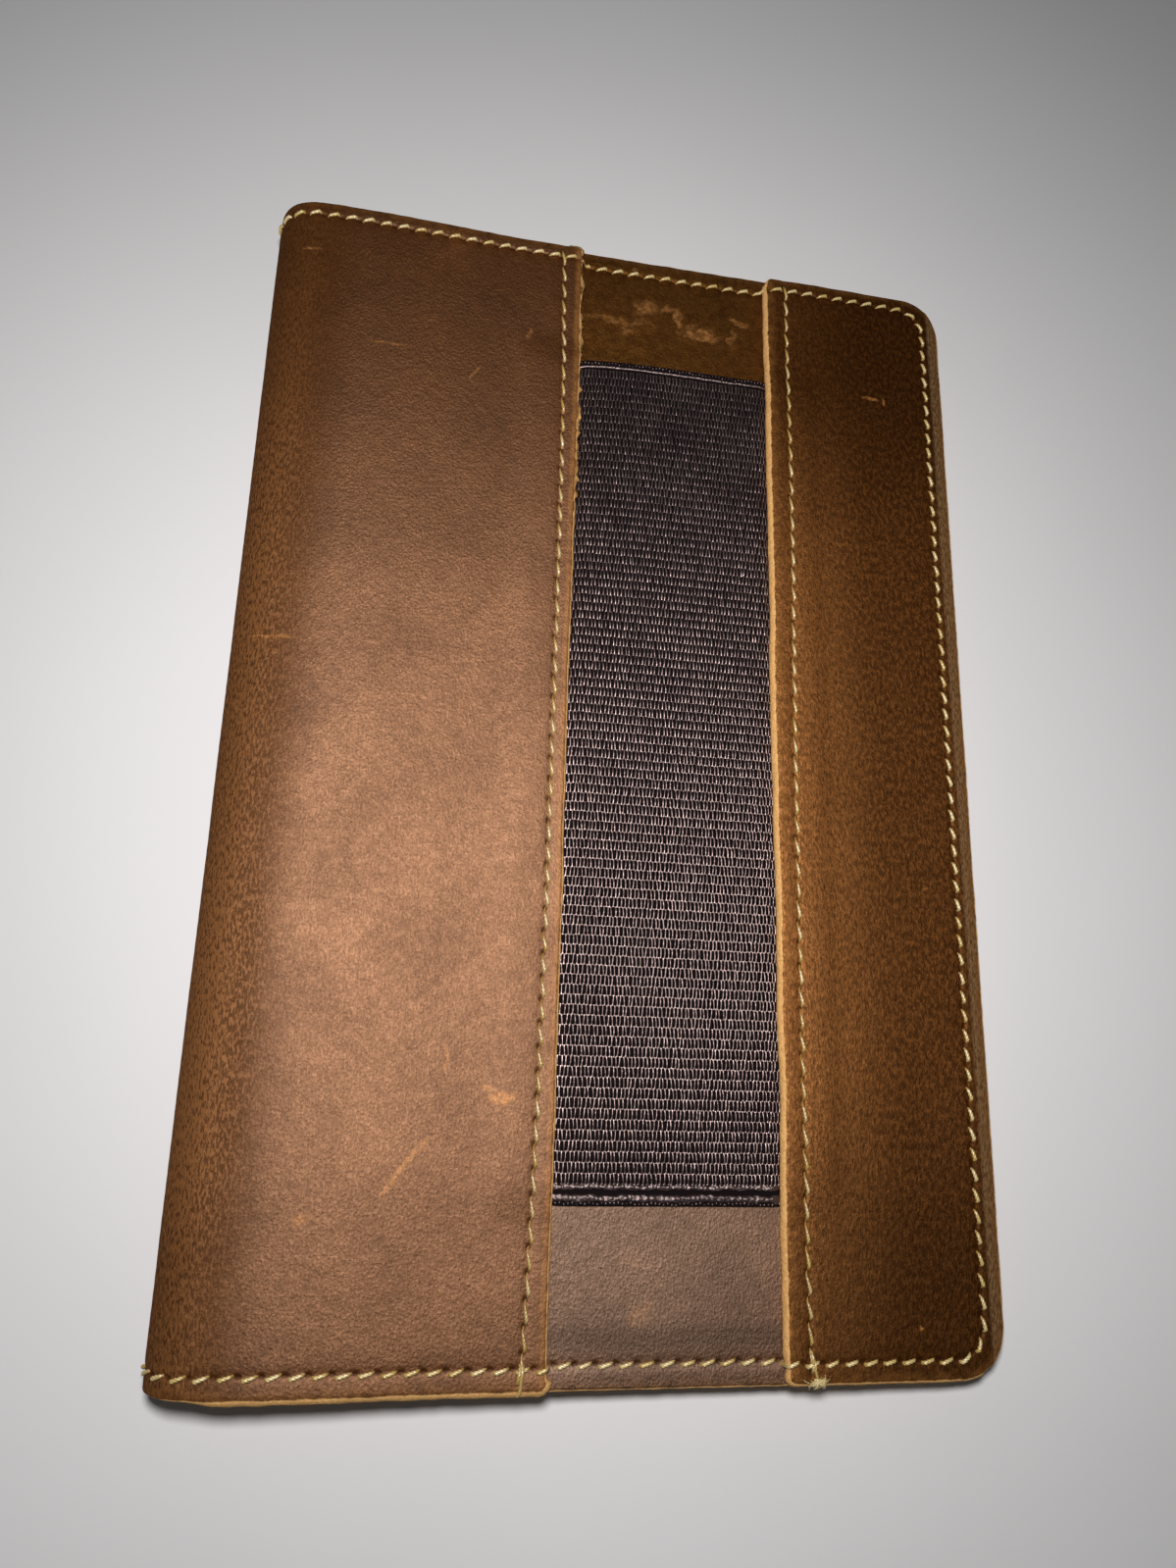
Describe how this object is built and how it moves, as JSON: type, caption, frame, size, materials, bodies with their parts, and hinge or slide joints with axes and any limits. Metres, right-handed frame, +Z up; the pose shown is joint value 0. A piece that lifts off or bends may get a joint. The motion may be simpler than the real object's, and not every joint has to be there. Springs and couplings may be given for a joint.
{
  "type": "leather notebook cover",
  "caption": "Slim bifold leather cover for a pocket notebook: fold, inner pockets, contrast seams and a wide elastic band across a window in the front.",
  "frame": {"origin": "centre of the closed cover's box, at its lowest face, on the surface it lies on", "axes": "+Z up through the closed cover, +Y along the spine towards its top end, +X from the spine fold to the open fore-edge"},
  "size_m": [0.1, 0.152, 0.0114],
  "materials": {
    "outer_leather": "waxed pull-up leather, satin",
    "backing_leather": "waxed leather, satin",
    "lining_leather": "matt lining leather",
    "elastic": "ribbed woven elastic, matt",
    "thread": "twisted polyester thread"
  },
  "bodies": {
    "back_cover": {"back_main_panel": "outer_leather", "back_pocket": "lining_leather", "back_needle_thread": "thread", "back_bobbin_thread": "thread"},
    "spine": {"spine_panel": "outer_leather", "spine_top_thread": "thread", "spine_bottom_thread": "thread"},
    "front_cover": {"front_main_panel": "outer_leather", "fore_edge_panel": "outer_leather", "window_backing": "backing_leather", "front_pocket": "lining_leather", "front_needle_thread": "thread", "front_bobbin_thread": "thread", "window_left_needle_thread": "thread", "window_right_needle_thread": "thread", "window_left_bobbin_thread": "thread", "window_right_bobbin_thread": "thread", "elastic_left_end": "elastic", "elastic_right_end": "elastic"},
    "elastic_band": {"elastic_span": "elastic"}
  },
  "joints": [
    {"name": "fold_at_back", "type": "hinge", "parent": "back_cover", "child": "spine", "pos_m": [-0.0488, 0, 0.0012], "axis": [0, -1, 0], "range_deg": [0, 90]},
    {"name": "fold_at_front", "type": "hinge", "parent": "spine", "child": "front_cover", "pos_m": [-0.0488, 0, 0.01], "axis": [0, -1, 0], "range_deg": [0, 92]},
    {"name": "elastic_lift", "type": "slide", "parent": "front_cover", "child": "elastic_band", "axis": [0.0472, 0, 0.9989], "range_m": [0, 0.005], "stiffness_N_per_m": 100}
  ],
  "couplings": [
    {"joint": "fold_at_front", "follows": "fold_at_back", "ratio": 1.0222}
  ]
}
